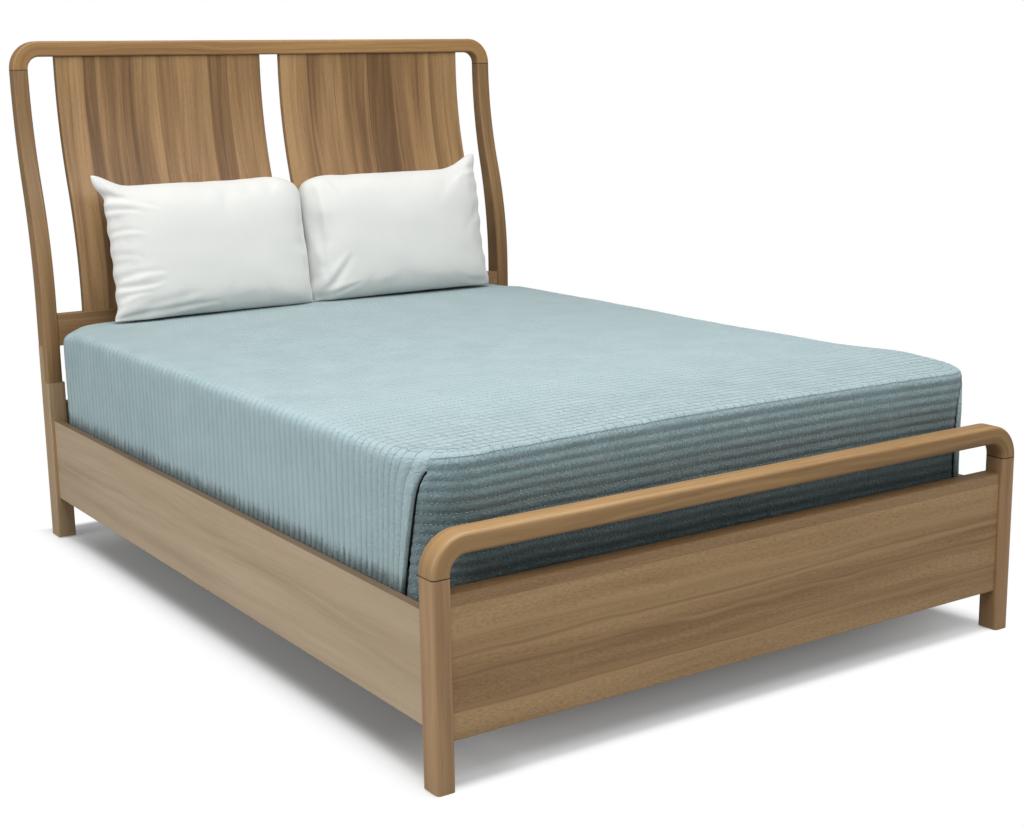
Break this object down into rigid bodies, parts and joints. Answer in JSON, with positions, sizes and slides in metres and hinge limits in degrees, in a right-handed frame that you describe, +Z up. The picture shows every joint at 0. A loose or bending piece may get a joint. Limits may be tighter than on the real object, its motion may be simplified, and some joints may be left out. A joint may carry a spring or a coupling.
{
  "type": "bentwood bed",
  "caption": "Dressed double bed with bent top rails, swept head posts, planked head panels, side rails on hook plates, slats, box spring, mattress, coverlet and pillows.",
  "frame": {"origin": "on the floor under the middle of the overall box", "axes": "+X to the right seen from the foot, +Y from the foot to the head, +Z up"},
  "size_m": [1.62, 2.313, 1.448],
  "materials": {
    "bent_rail_oak": "satin lacquered bent stock",
    "post_oak": "satin lacquered",
    "side_rail_oak": "satin lacquered veneer, long grain",
    "foot_panel_oak": "satin lacquered veneer, long grain",
    "cross_rail_oak": "satin lacquered",
    "plank_veneer": "satin lacquered planked veneer, upright grain",
    "slat_pine": "planed, unfinished",
    "dowel_beech": "fluted dowel, unfinished",
    "plate_steel": "zinc plated",
    "screw_steel": "zinc plated",
    "insert_steel": "yellow zinc plated",
    "pad_plastic": "moulded",
    "glide_nylon": "moulded",
    "box_spring_cloth": "plain woven ticking",
    "mattress_cloth": "knitted ticking",
    "coverlet_cotton": "crinkled, channel quilted cotton",
    "pillow_cotton": "plain percale"
  },
  "bodies": {
    "root": {"floor_glides": "glide_nylon", "foot_panel": "foot_panel_oak", "foot_panel_dowels": "dowel_beech", "foot_post_left": "post_oak", "foot_post_right": "post_oak", "foot_rail_dowels": "dowel_beech", "foot_top_rail": "bent_rail_oak", "head_cross_rail_lower": "cross_rail_oak", "head_cross_rail_upper": "cross_rail_oak", "head_leg_left": "post_oak", "head_leg_right": "post_oak", "head_lower_dowels": "dowel_beech", "head_panel_left": "plank_veneer", "head_panel_right": "plank_veneer", "head_post_left": "post_oak", "head_post_right": "post_oak", "head_rail_dowels": "dowel_beech", "head_top_rail": "bent_rail_oak", "head_upper_dowels": "dowel_beech", "lap_screws": "screw_steel", "ledger_screws": "screw_steel", "post_plate_screws": "screw_steel", "post_slot_plate_foot_left": "plate_steel", "post_slot_plate_foot_right": "plate_steel", "post_slot_plate_head_left": "plate_steel", "post_slot_plate_head_right": "plate_steel", "rail_hook_plate_foot_left": "plate_steel", "rail_hook_plate_foot_right": "plate_steel", "rail_hook_plate_head_left": "plate_steel", "rail_hook_plate_head_right": "plate_steel", "rail_plate_screws": "screw_steel", "side_ledger_left": "slat_pine", "side_ledger_right": "slat_pine", "side_rail_left": "side_rail_oak", "side_rail_right": "side_rail_oak", "slat_1": "slat_pine", "slat_2": "slat_pine", "slat_3": "slat_pine", "slat_4": "slat_pine", "slat_5": "slat_pine", "slat_leg_1": "slat_pine", "slat_leg_2": "slat_pine", "slat_leg_3": "slat_pine", "slat_leg_screws": "screw_steel", "slat_screws": "screw_steel", "threaded_insert_1": "insert_steel", "threaded_insert_2": "insert_steel", "threaded_insert_3": "insert_steel"},
    "box_spring": {"box_spring": "box_spring_cloth"},
    "mattress": {"mattress": "mattress_cloth", "coverlet": "coverlet_cotton"},
    "pillow_left": {"pillow_left": "pillow_cotton"},
    "pillow_right": {"pillow_right": "pillow_cotton"},
    "leveller_pad_1": {"leveller_pad_1": "pad_plastic"},
    "leveller_stem_1": {"leveller_stem_1": "screw_steel"},
    "leveller_pad_2": {"leveller_pad_2": "pad_plastic"},
    "leveller_stem_2": {"leveller_stem_2": "screw_steel"},
    "leveller_pad_3": {"leveller_pad_3": "pad_plastic"},
    "leveller_stem_3": {"leveller_stem_3": "screw_steel"}
  },
  "joints": [
    {"name": "box_spring_lift", "type": "slide", "parent": "root", "child": "box_spring", "axis": [0, 0, 1], "range_m": [0, 0.36]},
    {"name": "mattress_lift", "type": "slide", "parent": "box_spring", "child": "mattress", "axis": [0, 0, 1], "range_m": [0, 0.25]},
    {"name": "pillow_left_lift", "type": "slide", "parent": "mattress", "child": "pillow_left", "axis": [0, 0, 1], "range_m": [0, 0.45]},
    {"name": "pillow_right_lift", "type": "slide", "parent": "mattress", "child": "pillow_right", "axis": [0, 0, 1], "range_m": [0, 0.45]},
    {"name": "leveller_rise_1", "type": "slide", "parent": "root", "child": "leveller_pad_1", "axis": [0, 0, 1], "range_m": [0, 0.01]},
    {"name": "leveller_turn_1", "type": "hinge", "parent": "leveller_pad_1", "child": "leveller_stem_1", "pos_m": [0, -0.48625, 0.035], "axis": [0, 0, 1], "range_deg": [-10, 2890]},
    {"name": "leveller_rise_2", "type": "slide", "parent": "root", "child": "leveller_pad_2", "axis": [0, 0, 1], "range_m": [0, 0.01]},
    {"name": "leveller_turn_2", "type": "hinge", "parent": "leveller_pad_2", "child": "leveller_stem_2", "pos_m": [0, -0.043, 0.035], "axis": [0, 0, 1], "range_deg": [-10, 2890]},
    {"name": "leveller_rise_3", "type": "slide", "parent": "root", "child": "leveller_pad_3", "axis": [0, 0, 1], "range_m": [0, 0.01]},
    {"name": "leveller_turn_3", "type": "hinge", "parent": "leveller_pad_3", "child": "leveller_stem_3", "pos_m": [0, 0.40025, 0.035], "axis": [0, 0, 1], "range_deg": [-10, 2890]}
  ],
  "couplings": [
    {"joint": "leveller_turn_1", "follows": "leveller_rise_1", "rad_per_m": 5026.5},
    {"joint": "leveller_turn_2", "follows": "leveller_rise_2", "rad_per_m": 5026.5},
    {"joint": "leveller_turn_3", "follows": "leveller_rise_3", "rad_per_m": 5026.5}
  ]
}
